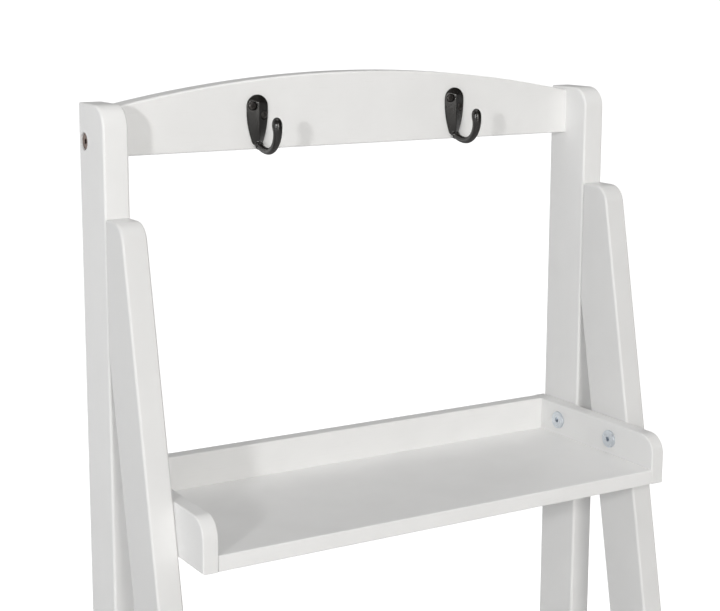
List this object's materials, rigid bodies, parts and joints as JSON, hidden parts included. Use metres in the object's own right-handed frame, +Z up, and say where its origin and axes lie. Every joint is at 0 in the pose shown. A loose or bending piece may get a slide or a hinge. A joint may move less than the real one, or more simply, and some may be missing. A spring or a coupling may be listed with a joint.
{
  "type": "ladder rack with coat hooks",
  "caption": "Free-standing painted wood ladder rack: upright posts and slanted front legs carry shallow trays, with coat hooks on an arched top rail.",
  "frame": {"origin": "on the floor, in the middle of the rack's width and depth", "axes": "+X to the right seen from the front, -Y to the front where the hooks point, +Z up"},
  "size_m": [0.45, 0.2748, 1.02],
  "materials": {
    "white_paint": "satin white paint over smooth wood board, eased edges",
    "hook_black": "cast, black-bronze lacquer, soft shine",
    "screw_black": "blackened steel",
    "zinc_steel": "bright zinc plate",
    "bronze_steel": "dark bronze plate",
    "dowel_wood": "bare beech",
    "glide_plastic": "moulded, matt"
  },
  "bodies": {
    "root": {"right_post": "white_paint", "left_post": "white_paint", "right_leg": "white_paint", "left_leg": "white_paint", "hook_rail": "white_paint", "rail_bolts": "bronze_steel", "rail_barrel_nuts": "zinc_steel", "rail_dowels": "dowel_wood", "leg_dowels": "dowel_wood", "left_hook": "hook_black", "left_hook_screws": "screw_black", "right_hook": "hook_black", "right_hook_screws": "screw_black", "upper_tray_shelf": "white_paint", "upper_tray_back": "white_paint", "upper_tray_right_cheek": "white_paint", "upper_tray_left_cheek": "white_paint", "upper_tray_bolts": "zinc_steel", "upper_tray_inserts": "zinc_steel", "upper_tray_dowels": "dowel_wood", "middle_tray_shelf": "white_paint", "middle_tray_back": "white_paint", "middle_tray_right_cheek": "white_paint", "middle_tray_left_cheek": "white_paint", "middle_tray_bolts": "zinc_steel", "middle_tray_inserts": "zinc_steel", "middle_tray_dowels": "dowel_wood", "lower_tray_shelf": "white_paint", "lower_tray_back": "white_paint", "lower_tray_right_cheek": "white_paint", "lower_tray_left_cheek": "white_paint", "lower_tray_bolts": "zinc_steel", "lower_tray_inserts": "zinc_steel", "lower_tray_dowels": "dowel_wood", "foot_glides": "glide_plastic"}
  },
  "joints": []
}
